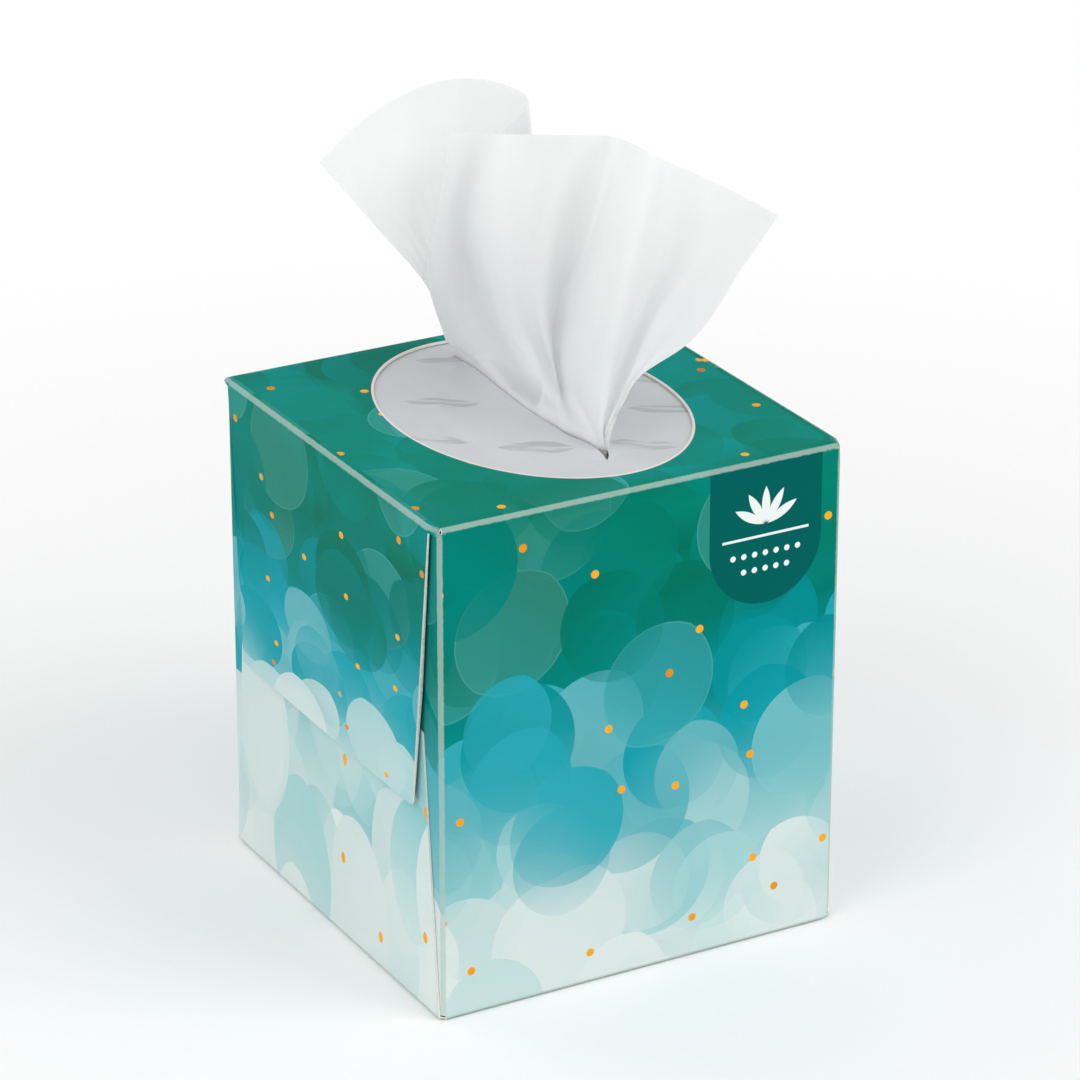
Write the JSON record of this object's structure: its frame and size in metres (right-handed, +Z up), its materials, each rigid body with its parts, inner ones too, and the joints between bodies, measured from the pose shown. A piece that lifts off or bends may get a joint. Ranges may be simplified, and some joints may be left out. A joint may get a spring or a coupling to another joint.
{
  "type": "tissue box",
  "caption": "Upright cube carton of facial tissues, with an oval mouth, a slit film window glued under it, and the first tissue pulled up through the slit.",
  "frame": {"origin": "centre of the base, on the surface that the box stands on", "axes": "+Z up out of the mouth, -Y out of the front face, -X and +X out of the two end faces that carry the glued flaps; the slit runs along Y"},
  "size_m": [0.111, 0.111, 0.2014],
  "materials": {
    "printed_board": "white-lined folding board, 0.5 mm, printed in greens that fade to near white at the base, under a gloss varnish",
    "film": "thin hazy polyethylene film, softly wrinkled",
    "glue": "dried white carton glue",
    "tissue": "soft two-ply crepe tissue, bleached white, matt"
  },
  "bodies": {
    "root": {"carton": "printed_board", "film_window": "film", "film_glue": "glue", "seam_glue": "glue", "left_flap_glue": "glue", "right_flap_glue": "glue", "tissue_pack": "tissue", "popup_tissue": "tissue"}
  },
  "joints": []
}
